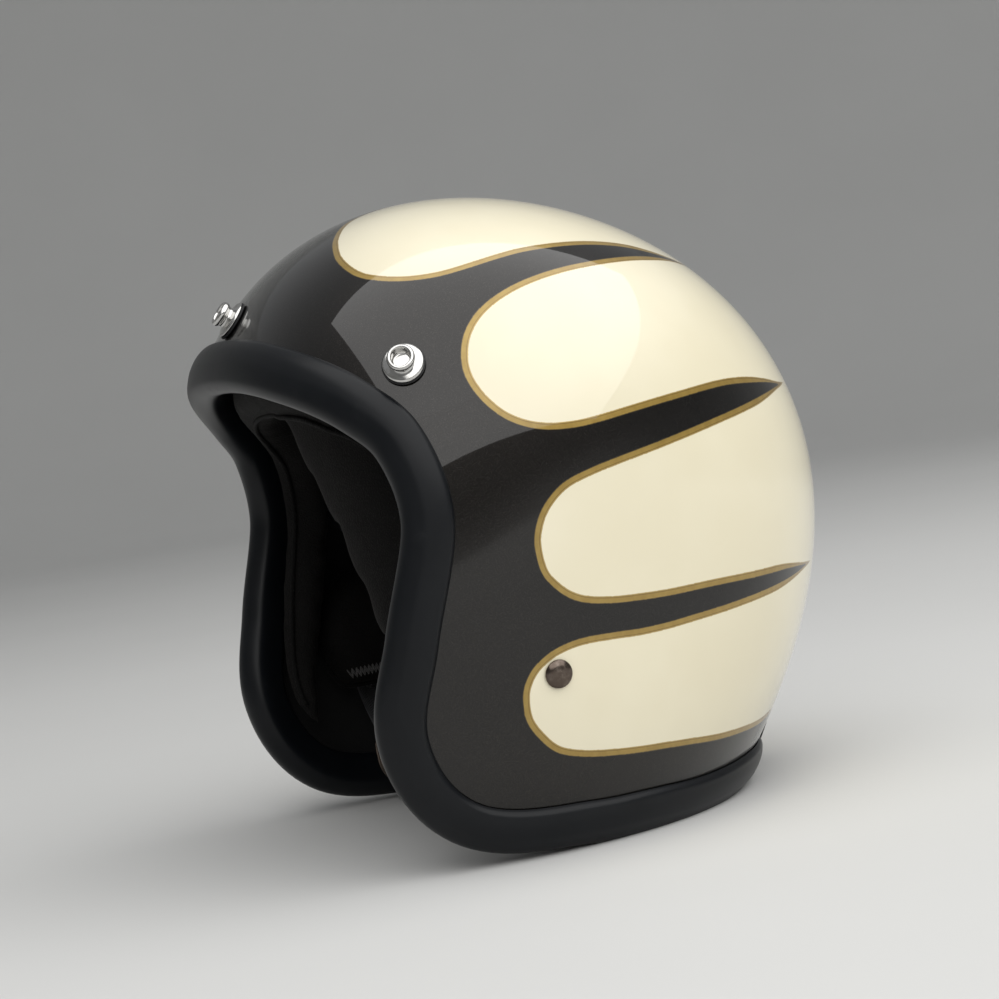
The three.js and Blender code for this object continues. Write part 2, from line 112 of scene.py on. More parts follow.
def smooth_line(points, closed=False, per=24):
    """Points along one smooth curve through the given ones."""
    p = np.asarray(points, float)
    n = len(p)
    out = []
    for i in range(n if closed else n - 1):
        if closed:
            a, b, c, d = p[(i - 1) % n], p[i], p[(i + 1) % n], p[(i + 2) % n]
        else:
            b, c = p[i], p[i + 1]
            a = p[i - 1] if i else 2 * b - c
            d = p[i + 2] if i + 2 < n else 2 * c - b
        t = np.linspace(0, 1, per, endpoint=False)[:, None]
        out.append(0.5 * (2 * b + (c - a) * t + (2 * a - 5 * b + 4 * c - d) * t ** 2
                          + (3 * b - a - 3 * c + d) * t ** 3))
    out = np.concatenate(out)
    return out if closed else np.vstack([out, p[-1:]])


def length_so_far(line):
    return np.concatenate([[0], np.cumsum(np.linalg.norm(np.diff(line, axis=0), axis=1))])


def at_length(line, lengths, where):
    """The point of a line, or the points, at a length along it."""
    return np.stack([np.interp(where, lengths, line[:, k]) for k in range(line.shape[1])], -1)


def spaced(line, count, closed=False):
    """The same curve with evenly spaced points."""
    q = np.vstack([line, line[:1]]) if closed else line
    s = length_so_far(q)
    at = np.linspace(0, s[-1], count + 1)[:-1] if closed else np.linspace(0, s[-1], count)
    return at_length(q, s, at)


def edge_loop(half, count):
    left = [on_shell(aim(a, e)) for a, e in half]
    right = [on_shell(aim(-a, e)) for a, e in half[-2:0:-1]]
    return unit(spaced(smooth_line(left + right, True, 60), count, True))


def spokes(loop, steps):
    """Rings of directions from TOP_BACK out to a loop."""
    return [np.repeat(TOP_BACK[None], len(loop), 0)] + [swing(TOP_BACK, loop, r / steps) for r in range(1, steps + 1)]


def edge_frames(dirs, closed=True):
    """Points along an edge of the shell, the way out of the shell there, and the way into the opening."""
    at = on_shell(dirs)
    if closed:
        run = np.roll(at, -1, 0) - np.roll(at, 1, 0)
    else:
        run = np.gradient(at, axis=0)
    out = outward(dirs)
    into = unit(np.cross(run, out))
    into *= -np.sign(into @ TOP_BACK)[:, None]
    return at, out, into


def from_edge(frames, into, out):
    """Points so far into the opening along the shell's own curve, and so far out from it."""
    at, _, way = frames
    d = unit(at + way * np.asarray(into)[..., None])
    return on_shell(d) + outward(d) * np.asarray(out)[..., None]


FINE_LOOP = edge_loop(OPENING, 1600)


def part_of_edge(middle, span, t):
    """Frames along a part of the opening's edge, with its middle and half its length in 400ths of the way round."""
    spots = np.round((middle + span * t) * len(FINE_LOOP) / 400).astype(int)
    return edge_frames(FINE_LOOP[spots % len(FINE_LOOP)], closed=False)


def fitting(spot):
    """Frame of a fitting that stands on the paint: Y out of the shell, Z as near upward as it can."""
    d = aim(*spot)
    out = outward(d)
    side = unit(np.cross(out, [0, 0, 1.0]))
    up = np.cross(side, out)
    m = Matrix.Identity(4)
    for k in range(3):
        m[k][0], m[k][1], m[k][2], m[k][3] = side[k], out[k], up[k], on_shell(d)[k]
    return m


# ---- making pieces -------------------------------------------------------------------------
def only(obj):
    bpy.ops.object.select_all(action="DESELECT")
    obj.select_set(True)
    bpy.context.view_layer.objects.active = obj


def apply(obj, kind, **settings):
    only(obj)
    m = obj.modifiers.new(kind.title(), kind)
    for k, v in settings.items():
        setattr(m, k, v)
    bpy.ops.object.modifier_apply(modifier=m.name)


def smooth(obj, angle=None):
    only(obj)
    bpy.ops.object.shade_smooth()
    if angle:
        bpy.ops.object.shade_smooth_by_angle(angle=math.radians(angle))


def points_of(obj):
    co = np.zeros(len(obj.data.vertices) * 3, np.float32)
    obj.data.vertices.foreach_get("co", co)
    return co.reshape(-1, 3).astype(float)


def open_mesh():
    bpy.ops.object.mode_set(mode="EDIT")
    bpy.ops.mesh.select_all(action="SELECT")


def close_mesh():
    bpy.ops.object.mode_set(mode="OBJECT")


def move_points(obj, co):
    obj.data.vertices.foreach_set("co", np.ascontiguousarray(co, np.float32).ravel())
    obj.data.update()


def bent_grid(name, rows, wrap_rows=False, caps=False, keep_uv=None):
    """A flat grid of faces bent onto rows of points, joined up where its edges meet."""
    rows = np.asarray(rows, float)
    rows = np.concatenate([rows, rows[:, :1]], 1)
    if wrap_rows:
        rows = np.concatenate([rows, rows[:1]], 0)
    r, c = rows.shape[:2]
    bpy.ops.object.select_all(action="DESELECT")
    bpy.ops.mesh.primitive_grid_add(x_subdivisions=c - 1, y_subdivisions=r - 1, size=2)
    obj = bpy.context.object
    obj.name = obj.data.name = name
    move_points(obj, rows.reshape(-1, 3))
    open_mesh()
    bpy.ops.mesh.remove_doubles(threshold=2e-6)
    if caps:
        bpy.ops.mesh.select_all(action="DESELECT")
        bpy.ops.mesh.select_mode(type="EDGE")
        bpy.ops.mesh.select_non_manifold(extend=False)
        bpy.ops.mesh.edge_face_add()
        bpy.ops.mesh.select_mode(type="VERT")
        bpy.ops.mesh.select_all(action="SELECT")
    bpy.ops.mesh.normals_make_consistent(inside=False)
    close_mesh()
    if keep_uv is not None:
        uv = obj.data.uv_layers[0].data
        flat = np.zeros(len(uv) * 2, np.float32)
        uv.foreach_get("uv", flat)
        flat = flat.reshape(-1, 2) * np.asarray(keep_uv, np.float32)
        uv.foreach_set("uv", flat.ravel())
    smooth(obj)
    return obj


AXIS_HOLE = 1e-4


def turned(name, profile, place, steps=64):
    """A piece turned on a lathe: a ring drawn out and scaled along its profile, then set in place."""
    bpy.ops.object.select_all(action="DESELECT")
    radius, high = max(profile[0][0], AXIS_HOLE), profile[0][1]
    bpy.ops.mesh.primitive_circle_add(vertices=steps, radius=radius, location=(0, 0, 0))
    obj = bpy.context.object
    obj.name = obj.data.name = name
    open_mesh()
    bpy.ops.transform.translate(value=(0, 0, high))
    for r, h in profile[1:]:
        r = max(r, AXIS_HOLE)
        bpy.ops.mesh.extrude_region_move(TRANSFORM_OT_translate={"value": (0, 0, h - high)})
        bpy.ops.transform.resize(value=(r / radius, r / radius, 1))
        radius, high = r, h
    bpy.ops.mesh.select_all(action="SELECT")
    bpy.ops.mesh.remove_doubles(threshold=5e-4)
    bpy.ops.mesh.normals_make_consistent(inside=False)
    close_mesh()
    upright_to_outward = Matrix(((1, 0, 0, 0), (0, 0, 1, 0), (0, -1, 0, 0), (0, 0, 0, 1)))
    obj.data.transform(STAND @ place @ upright_to_outward)
    smooth(obj, 38)
    return obj


def settle(obj, body, replaces=(), finish=None):
    """Hides the CAD parts that a finished piece replaces, gives it its finish, and lets it ride on its body."""
    if replaces:
        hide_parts(*replaces)
    if finish:
        obj.data.materials.clear()
        obj.data.materials.append(finish)
    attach(obj, body)
    return obj


def rounded(profile, radius=0.25, steps=3, closed=False):
    """The same profile with each corner rounded off."""
    p = [np.array(q, float) for q in profile]
    out = []
    n = len(p)
    for i, q in enumerate(p):
        if not closed and i in (0, n - 1):
            out.append(tuple(q))
            continue
        a, b = p[(i - 1) % n], p[(i + 1) % n]
        la, lb = np.linalg.norm(a - q), np.linalg.norm(b - q)
        cut = min(radius, la * 0.45, lb * 0.45)
        s, e = q + (a - q) / la * cut, q + (b - q) / lb * cut
        for t in np.linspace(0, 1, steps + 1):
            out.append(tuple((1 - t) ** 2 * s + 2 * t * (1 - t) * q + t * t * e))
    return out


# ---- shader maths --------------------------------------------------------------------------
class Wire:
    """One value in a material, with arithmetic that adds its own Math nodes."""

    def __init__(self, finish, socket):
        self.finish = finish
        self.socket = socket

    def maths(self, kind, *others):
        return self.finish.node("ShaderNodeMath", {"operation": kind}, self, *others).out()

    def __add__(self, o): return self.maths("ADD", o)
    def __radd__(self, o): return self.maths("ADD", o)
    def __sub__(self, o): return self.maths("SUBTRACT", o)
    def __rsub__(self, o): return self.finish.node("ShaderNodeMath", {"operation": "SUBTRACT"}, o, self).out()
    def __mul__(self, o): return self.maths("MULTIPLY", o)
    def __rmul__(self, o): return self.maths("MULTIPLY", o)
    def abs(self): return self.maths("ABSOLUTE")
    def sin(self): return self.maths("SINE")

    def ramp(self, low, high, a=0.0, b=1.0):
        """a below low, b above high, and a smooth step between."""
        return self.finish.node("ShaderNodeMapRange", {"interpolation_type": "SMOOTHSTEP", "clamp": True},
                                self, low, high, a, b).out()


class Step:
    """One node of a material."""

    def __init__(self, finish, node):
        self.finish = finish
        self.node = node

    def out(self, name=0):
        return Wire(self.finish, self.node.outputs[name])


class Finish:
    """A material named for one finish of the helmet."""

    def __init__(self, name, **fixed):
        self.material = bpy.data.materials.new(name)
        self.material.use_nodes = True
        self.tree = self.material.node_tree
        self.face = self.tree.nodes["Principled BSDF"]
        for socket, value in fixed.items():
            self.face.inputs[socket.replace("_", " ")].default_value = value

    def node(self, kind, settings=None, *values, **named):
        n = self.tree.nodes.new(kind)
        for k, v in (settings or {}).items():
            setattr(n, k, v)
        for i, v in enumerate(values):
            self.feed(n.inputs[i], v)
        for k, v in named.items():
            self.feed(n.inputs[k.replace("_", " ")], v)
        return Step(self, n)

    def feed(self, socket, value):
        if value is None:
            return
        if isinstance(value, Wire):
            self.tree.links.new(value.socket, socket)
        else:
            socket.default_value = value

    def place(self):
        return self.node("ShaderNodeTexCoord").out("Object")

    def noise(self, scale, detail=2.0, rough=0.5, at=None):
        return self.node("ShaderNodeTexNoise", None, Vector=at or self.place(), Scale=scale, Detail=detail,
                         Roughness=rough).out()

    def cells(self, scale, at=None, feature="F1", out="Distance"):
        return self.node("ShaderNodeTexVoronoi", {"feature": feature}, Vector=at or self.place(), Scale=scale).out(out)

    def split(self, vector):
        n = self.node("ShaderNodeSeparateXYZ", None, vector)
        return n.out(0), n.out(1), n.out(2)

    def mix(self, amount, a, b):
        """Colour a where amount is 0, colour b where it is 1."""
        n = self.tree.nodes.new("ShaderNodeMix")
        n.data_type = "RGBA"
        self.feed(n.inputs[0], amount)
        self.feed(n.inputs[6], a)
        self.feed(n.inputs[7], b)
        return Wire(self, n.outputs[2])

    def attribute(self, name):
        return self.node("ShaderNodeAttribute", {"attribute_name": name}).out("Fac")

    def bump(self, height, strength, distance):
        return self.node("ShaderNodeBump", None, Strength=strength, Distance=distance, Height=height).out()

    def wear(self, **sockets):
        for k, v in sockets.items():
            self.feed(self.face.inputs[k.replace("_", " ")], v)
        return self.material


def rgb(r, g, b):
    return (r, g, b, 1.0)


# ---- finishes ------------------------------------------------------------------------------
def shell_finish():
    """Cream and charcoal under one clear coat, parted by a hand-laid gold line."""
    f = Finish("shell_paint", Specular_IOR_Level=0.3, Coat_Roughness=0.025, Coat_IOR=1.45)
    dark = f.attribute("dark_edge")
    gold = f.attribute("gold_edge")
    inside = f.attribute("raw_inside")
    at = f.place()
    cloud = f.noise(14, 3, 0.55, at)
    cream = f.mix(cloud.ramp(0.3, 0.7), rgb(0.80, 0.735, 0.545), rgb(0.845, 0.785, 0.60))
    flake = f.split(f.cells(5200, at, out="Color"))[0]
    spark = flake.ramp(0.86, 1.0)
    soot = f.mix(cloud.ramp(0.25, 0.75), rgb(0.0062, 0.0050, 0.0042), rgb(0.0092, 0.0076, 0.0064))
    soot = f.mix(spark * 0.4, soot, rgb(0.060, 0.054, 0.048))
    brushed = f.noise(260, 2, 0.6, at)
    line = f.mix(brushed.ramp(0.3, 0.7), rgb(0.310, 0.200, 0.040), rgb(0.360, 0.240, 0.054))
    rib = (gold + 0.62).abs()
    line = f.mix((1 - rib.ramp(0.06, 0.26)) * 0.65, line, rgb(0.150, 0.088, 0.020))
    line = f.mix(gold.ramp(-0.5, -0.3) * 0.45, line, rgb(0.52, 0.38, 0.15))
    line = f.mix(1 - dark.ramp(0.10, 0.45), line, rgb(0.060, 0.040, 0.014))
    in_cream = gold.ramp(-0.12, 0.12)
    in_dark = 1 - dark.ramp(-0.12, 0.12)
    in_line = (1 - in_cream) * (1 - in_dark)
    colour = f.mix(in_cream, line, cream)
    colour = f.mix(in_dark, colour, soot)
    colour = f.mix(inside, colour, rgb(0.006, 0.006, 0.006))
    shine = in_dark * 0.85 + in_line * 0.35
    rough = in_cream * 0.30 + in_line * 0.34 + in_dark * 0.36
    dull = 1 - inside
    ridge = in_line * 0.6 + f.noise(55, 2, 0.5, at) * 0.12 + f.noise(900, 1, 0.5, at) * inside * 3
    return f.wear(Base_Color=colour, Metallic=shine * dull, Roughness=rough * dull + inside * 0.85,
                  Coat_Weight=dull, Normal=f.bump(ridge, 0.25, 0.00025))


def rubber_finish():
    f = Finish("trim_rubber", Specular_IOR_Level=0.24)
    at = f.place()
    wide, fine = f.noise(22, 4, 0.6, at), f.noise(1500, 2, 0.6, at)
    scuff = f.noise(90, 5, 0.7, at).ramp(0.58, 0.78)
    colour = f.mix(wide.ramp(0.3, 0.7), rgb(0.0028, 0.0036, 0.0050), rgb(0.0046, 0.0056, 0.0072))
    colour = f.mix(scuff * 0.3, colour, rgb(0.014, 0.015, 0.017))
    return f.wear(Base_Color=colour, Roughness=wide * 0.10 + scuff * 0.06 + 0.31,
                  Normal=f.bump(fine * 0.5 + wide * 0.6, 0.12, 0.0002))


def foam_finish():
    f = Finish("bead_foam", Specular_IOR_Level=0.3)
    bead = f.cells(230, feature="DISTANCE_TO_EDGE")
    tone = f.mix(bead.ramp(0.0, 0.16), rgb(0.003, 0.003, 0.003), rgb(0.008, 0.008, 0.009))
    return f.wear(Base_Color=tone, Roughness=0.82 - bead * 0.3, Normal=f.bump(bead.ramp(0, 0.35), 0.6, 0.0008))


def cloth_finish(name, low, high, knit):
    f = Finish(name, Specular_IOR_Level=0.14, Sheen_Weight=0.015, Sheen_Roughness=0.4,
               Sheen_Tint=rgb(0.75, 0.68, 0.62))
    at = f.place()
    loop = f.cells(knit, at)
    nap = f.noise(70, 4, 0.6, at)
    tone = f.mix(loop.ramp(0.1, 0.6) * 0.7 + nap * 0.3, high, low)
    return f.wear(Base_Color=tone, Roughness=nap * 0.15 + 0.72,
                  Normal=f.bump((1 - loop.ramp(0.0, 0.7)) * 0.8 + nap * 0.5, 0.5, 0.0006))


def metal_finish(name, colour, worn, rough, pits=0.0, relief=0.00001):
    f = Finish(name, Metallic=1.0)
    at = f.place()
    haze = f.noise(300, 4, 0.65, at)
    hair = f.noise(1800, 2, 0.5, at)
    tone = f.mix(haze.ramp(0.45, 0.8), colour, worn)
    return f.wear(Base_Color=tone, Roughness=haze.ramp(0.4, 0.8, rough, rough + 0.10) + hair * 0.03,
                  Normal=f.bump(hair * 0.4 + haze * pits, 0.10, relief))


def webbing_finish():
    """A woven band: its pattern lies on the band's own UV map, in millimetres."""
    f = Finish("black_webbing", Sheen_Weight=0.25, Sheen_Roughness=0.4)
    u, v, _ = f.split(f.node("ShaderNodeUVMap").out(0))
    pick = (v * (2 * math.pi / 1.25)).sin()
    side = (u * (2 * math.pi / 2.1)).sin()
    twill = ((u + v * 1.3) * (2 * math.pi / 1.7)).sin()
    weave = (pick * side * 0.5 + 0.5) * 0.7 + (twill * 0.5 + 0.5) * 0.3
    fuzz = f.noise(400, 3, 0.6)
    tone = f.mix(weave * 0.8 + fuzz * 0.2, rgb(0.005, 0.005, 0.006), rgb(0.026, 0.026, 0.029))
    return f.wear(Base_Color=tone, Roughness=0.78 - weave * 0.2, Normal=f.bump(weave, 0.6, 0.0005))


def leather_finish():
    f = Finish("black_leather", IOR=1.48)
    at = f.place()
    grain = f.cells(720, at, feature="DISTANCE_TO_EDGE")
    crease = f.noise(120, 4, 0.6, at)
    tone = f.mix(crease.ramp(0.35, 0.7), rgb(0.0075, 0.0070, 0.0068), rgb(0.016, 0.0145, 0.0135))
    return f.wear(Base_Color=tone, Roughness=0.62 - grain.ramp(0, 0.3) * 0.2,
                  Normal=f.bump(grain.ramp(0.0, 0.22) + crease * 0.6, 0.45, 0.0004))


def thread_finish(name, low, high):
    f = Finish(name, Sheen_Weight=0.4)
    ply = f.noise(2400, 2, 0.5)
    return f.wear(Base_Color=f.mix(ply.ramp(0.3, 0.7), low, high), Roughness=0.55 + ply * 0.2,
                  Normal=f.bump(ply, 0.4, 0.0002))


def washer_finish():
    f = Finish("gasket_rubber")
    grit = f.noise(900, 3, 0.6)
    return f.wear(Base_Color=f.mix(grit, rgb(0.006, 0.006, 0.007), rgb(0.017, 0.017, 0.018)),
                  Roughness=0.6 + grit * 0.15, Normal=f.bump(grit, 0.25, 0.0002))


PAINT = shell_finish()
RUBBER = rubber_finish()
FOAM = foam_finish()
CLOTH = cloth_finish("black_lining_cloth", rgb(0.0012, 0.0011, 0.0010), rgb(0.0042, 0.0038, 0.0035), 1100)
PAD_CLOTH = cloth_finish("black_pad_cloth", rgb(0.0014, 0.0012, 0.0011), rgb(0.0050, 0.0043, 0.0038), 1250)
CHROME = metal_finish("chrome", rgb(0.60, 0.595, 0.58), rgb(0.46, 0.45, 0.43), 0.08)
STEEL = metal_finish("zinc_steel", rgb(0.42, 0.43, 0.44), rgb(0.30, 0.30, 0.29), 0.32, 0.5, 0.0001)
NICKEL = metal_finish("dark_nickel", rgb(0.105, 0.082, 0.068), rgb(0.20, 0.165, 0.14), 0.20, 0.4, 0.00003)
WASHER = washer_finish()
WEBBING = webbing_finish()
LEATHER = leather_finish()
THREAD = thread_finish("black_thread", rgb(0.010, 0.010, 0.011), rgb(0.035, 0.034, 0.035))
PALE_THREAD = thread_finish("grey_thread", rgb(0.022, 0.021, 0.020), rgb(0.060, 0.057, 0.054))


# ---- the scallops --------------------------------------------------------------------------
# Edges of the charcoal on the wearer's left, as [degrees round, degrees up], from the nape to the
# spike over the crown. Each run ends at the point of a charcoal spike.
BAND_AND_LOBE_4 = [(180, -41), (165, -41.3), (151, -41.6), (143, -42.3), (132.5, -42.6), (124, -42.5),
                   (114.5, -41.8), (106.5, -41), (99.5, -40.2), (93, -39.2), (86, -37.7), (81, -35.8),
                   (78, -33), (76.2, -30), (76, -27), (76.8, -24.4), (79, -22), (82.4, -20.4), (86, -19.7),
                   (90, -19.6), (96, -20.1), (101.5, -20.6), (108, -20.7), (114.5, -20.4), (121, -20),
                   (128.5, -19.3), (137, -18.3), (144, -17.3), (150.5, -16.2)]
LOBE_3 = [(150.5, -16.2), (144, -16.1), (137, -16.2), (121.5, -16.4), (108.5, -16.4), (102, -16),
          (96.5, -15.4), (91, -14.2), (87.5, -12.5), (84.9, -10), (83.3, -7.4), (82.8, -4), (83.1, -0.7),
          (84.7, 2.8), (87.3, 5.6),
          (90.8, 7.7), (95.4, 8.9), (101, 9.8), (113.5, 11.2), (127.5, 12.5), (136, 13.1), (144, 13.6),
          (151, 13.9)]
LOBE_2 = [(151, 13.9), (145, 15.0), (139, 15.9), (132, 16.8), (126, 17.1), (119, 17.1), (106, 16.7), (99.5, 16.3),
          (94.4, 16.2), (89.2, 16.7), (84.9, 18), (81.4, 20.1), (78.7, 23), (77, 26), (76.3, 28.8),
          (76.6, 31.8), (78, 35), (80.8, 38), (85, 40.5), (91, 42.6), (98, 44), (106, 44.8), (114.5, 45),
          (124, 44.7), (134.5, 43.7), (144, 42), (152, 40)]
LOBE_1 = [(152, 40), (147, 41.8), (140.5, 44), (133.5, 46.2), (124.5, 48.1), (115.5, 49.2), (107, 49.6),
          (98.5, 49.5), (92, 48.9), (85, 48), (79, 47.3), (74, 47.1), (68.5, 47.5), (63, 48.6), (57, 50.6),
          (52, 53.5), (46, 58), (40, 63.4), (36, 67), (30.5, 71.5), (25.5, 75.8), (27, 79.5), (45, 84),
          (119, 85.5), (166, 76.5), (176, 63.8), (180, 52)]
GOLD_TIPS = [(155, -15.9), (155.5, 13.7), (161, 37.6), (180, 45)]
LINE_WIDE, TAPER, POINT_GAP = 2.75, 34, 0.35


def scallop_edges():
    """Two closed runs of points: the edge of the charcoal, and the cream side of the gold line."""
    dark, gold = [], []
    for k, knots in enumerate([BAND_AND_LOBE_4, LOBE_3, LOBE_2, LOBE_1]):
        line = smooth_line(on_shell(np.array([aim(*q) for q in knots])), per=30)
        length = np.linalg.norm(np.diff(line, axis=0), axis=1).sum()
        line = on_shell(unit(spaced(line, int(length / POINT_GAP))))
        s = np.linspace(0, length, len(line))
        end = length - s if k == 0 else np.minimum(s, length - s)
        share = np.clip(end / TAPER, 0, 1)
        wide = LINE_WIDE * (0.42 + 0.58 * share * share * (3 - 2 * share))
        right = unit(np.cross(np.gradient(line, axis=0), outward(unit(line))))
        inner = on_shell(unit(line + right * wide[:, None]))
        tip = on_shell(aim(*GOLD_TIPS[k]))
        t = np.linspace(0, 1, 40)[:, None]
        run = [inner, on_shell(unit(inner[-1] * (1 - t) + tip * t))[1:]]
        if k:
            before = on_shell(aim(*GOLD_TIPS[k - 1]))
            run.insert(0, on_shell(unit(before * (1 - t) + inner[0] * t))[:-1])
        dark.append(line)
        gold.append(np.vstack(run))
    mirror = np.array([-1.0, 1, 1])
    both = []
    for runs in (dark, gold):
        left = np.vstack(runs)
        both.append(np.vstack([left, (left * mirror)[::-1]]))
    return both


def flat_chart(d):
    """Directions laid flat round TOP_BACK, so that a closed line there has a plain inside."""
    up = np.array([0.0, -math.sqrt(0.5), math.sqrt(0.5)])
    x, y = d[..., 0], d @ up
    away = np.arccos(np.clip(d @ TOP_BACK, -1, 1))
    r = np.maximum(np.hypot(x, y), 1e-12)
    return np.stack([x / r * away, y / r * away], -1)


def inside_of(line, d):
    """Which directions lie inside a closed line, by counting how often the line crosses a level run."""
    ring = flat_chart(unit(line[::3]))
    p = flat_chart(d)
    odd = np.zeros(len(p), bool)
    for a, b in zip(ring, np.roll(ring, -1, 0)):
        if a[1] == b[1]:
            continue
        crosses = (a[1] > p[:, 1]) != (b[1] > p[:, 1])
        odd ^= crosses & (p[:, 0] < (b[0] - a[0]) * (p[:, 1] - a[1]) / (b[1] - a[1]) + a[0])
    return odd


def signed_distance(line, d):
    """Distance to a closed line on the shell, above 0 inside it."""
    tree = KDTree(len(line))
    for i, q in enumerate(line):
        tree.insert(q, i)
    tree.balance()
    at = on_shell(d)
    away = np.array([tree.find(q)[2] for q in at])
    return np.where(inside_of(line, d), away, -away)


def unstand(p):
    """From metres in the helmet's frame back to the shell's own millimetres."""
    c, s = math.cos(TILT), math.sin(TILT)
    x, y, z = p[..., 0] / MM, p[..., 1] / MM - BACK, p[..., 2] / MM - LIFT
    return np.stack([x, c * y + s * z, -s * y + c * z], -1)


# ---- shell ---------------------------------------------------------------------------------
ROUND, ROWS, BACK_ROWS, THICK, TUCK = 280, 104, 14, 4.0, 14.0
FACE_DEPTH = THICK / 2
paint_loop = edge_loop(OPENING, ROUND)
rim = edge_frames(paint_loop)
tuck_dirs = [unit(from_edge(rim, TUCK * t, 0)) for t in (0.25, 0.5, 0.75, 1)]
rows = ([below(d, 0) for d in spokes(paint_loop, ROWS) + tuck_dirs]
        + [below(d, THICK) for d in tuck_dirs[::-1] + spokes(paint_loop, BACK_ROWS)[::-1]])
shell = bent_grid("painted_shell", stand(np.array(rows)))
dark_line, gold_line = scallop_edges()


def shell_points():
    """Direction of each point of the shell, and whether it lies on the painted face."""
    p = unstand(points_of(shell))
    d = unit(p)
    return d, reach(d) - np.linalg.norm(p, axis=1) < FACE_DEPTH


# a finer mesh near the painted lines, in two passes
for band in (5.5, 2.6):
    d, face = shell_points()
    near = np.full(len(d), 99.0)
    near[face] = np.minimum(np.abs(signed_distance(dark_line, d[face])), np.abs(signed_distance(gold_line, d[face])))
    only(shell)
    bpy.ops.object.mode_set(mode="EDIT")
    bpy.ops.mesh.select_all(action="DESELECT")
    bpy.ops.mesh.select_mode(type="VERT")
    close_mesh()
    shell.data.vertices.foreach_set("select", near < band)
    bpy.ops.object.mode_set(mode="EDIT")
    bpy.ops.mesh.select_mode(type="VERT")
    bpy.ops.mesh.select_mode(type="FACE")
    bpy.ops.mesh.subdivide(number_cuts=1)
    close_mesh()
    d, face = shell_points()
    p = points_of(shell)
    p[face] = stand(on_shell(d[face]))
    move_points(shell, p)
d, face = shell_points()
for name, line in (("dark_edge", dark_line), ("gold_edge", gold_line)):
    away = np.full(len(d), -20.0)
    away[face] = signed_distance(line, d[face])
    shell.data.attributes.new(name, "FLOAT", "POINT").data.foreach_set("value", away.astype(np.float32))
shell.data.attributes.new("raw_inside", "FLOAT", "POINT").data.foreach_set("value", (~face).astype(np.float32))
n = outward(d) * np.where(face, 1.0, -1.0)[:, None]
c, s = math.cos(TILT), math.sin(TILT)
n = np.stack([n[:, 0], c * n[:, 1] - s * n[:, 2], s * n[:, 1] + c * n[:, 2]], 1)
shell.data.normals_split_custom_set_from_vertices(n.tolist())
settle(shell, "helmet", ["shell"], PAINT)

# ---- edge trim -----------------------------------------------------------------------------
# The section of the beading: how far into the opening, and how far out from the paint.
TRIM = [(0.2, 0.35), (0.7, 1.7), (1.9, 3.1), (5, 4.3), (8.5, 4.7), (12, 4.5), (17.2, 3), (20, -0.6), (20.2, -5),
        (17.5, -9.2), (12, -10.8), (4.5, -10.4), (1.9, -9), (0.9, -7), (0.8, -4.7)]
roll_round = smooth_line(TRIM, per=5)
section = np.vstack([roll_round, [(7, -4.8), (14.7, -4.7), (14.7, 0.35), (7, 0.35)]])
trim_loop = edge_loop(OPENING, 420)
at, out, way = edge_frames(trim_loop)
x = at[:, 0]
pinch = np.where(at[:, 1] > 60, 1 - np.clip((np.abs(x) - 9.5) / 4, 0, 1), 0)
pinch = pinch * pinch * (3 - 2 * pinch)
middle = np.array([10.5, -3.0])
outer = np.ones(len(section))
outer[len(roll_round):] = 0
squeeze = 1 - 0.075 * pinch[:, None] * outer[None]
into = middle[0] + (section[None, :, 0] - middle[0]) * squeeze
over = middle[1] + (section[None, :, 1] - middle[1]) * squeeze
world = stand(from_edge((at[:, None], out[:, None], way[:, None]), into, over))
world[..., 2] = np.maximum(world[..., 2], 0.0)
trim = bent_grid("edge_trim_beading", world, wrap_rows=True)
smooth(trim, 50)
settle(trim, "helmet", ["edge_trim"], RUBBER)

# ---- foam and lining -----------------------------------------------------------------------
LINER_OUT, LINER_IN, LINING_OUT, LINING_IN = 5.3, 28.0, 29.2, 36.5
SEAM_SIDE, SEAM_RING, SPOKE_LONG, SEAM_WIDE, SEAM_DEEP, EDGE_DEEP = 34, 0.8, 190, 7, 3.4, 2.6


def bowl(name, count, steps, out_depth, in_depth, sewn=False):
    """A bowl under the shell, between two depths, with channels sewn along and round it if it is a quilt."""
    dirs = spokes(edge_loop(LINER_EDGE, count), steps)
    outside = [below(q, out_depth) for q in dirs]
    lip = [below(unit(dirs[-1] + (dirs[-1] - dirs[-2]) * b), out_depth + (in_depth - out_depth) * a)
           for a, b in ((0.12, 0.35), (0.5, 0.5), (0.88, 0.35))]
    inside = []
    for k in range(steps, -1, -1):
        pull = 0
        if sewn:
            r = k / steps
            for gap in (np.abs(np.abs(on_shell(dirs[k])[:, 0]) - SEAM_SIDE), abs(r - SEAM_RING) * SPOKE_LONG):
                pull = np.maximum(pull, np.exp(-(gap / SEAM_WIDE) ** 2))
            pull = pull * SEAM_DEEP + EDGE_DEEP * r ** 30
        inside.append(below(dirs[k], in_depth - pull))
    return bent_grid(name, stand(np.array(outside + lip + inside)))


liner = bowl("bead_foam_liner", 132, 36, LINER_OUT, LINER_IN)
settle(liner, "helmet", ["impact_liner"], FOAM)
lining = bowl("crown_lining_quilt", 264, 100, LINING_OUT, LINING_IN, sewn=True)
settle(lining, "helmet", ["crown_lining"], CLOTH)


# ---- stuffed pieces ------------------------------------------------------------------------
SIM_FRAMES = 20


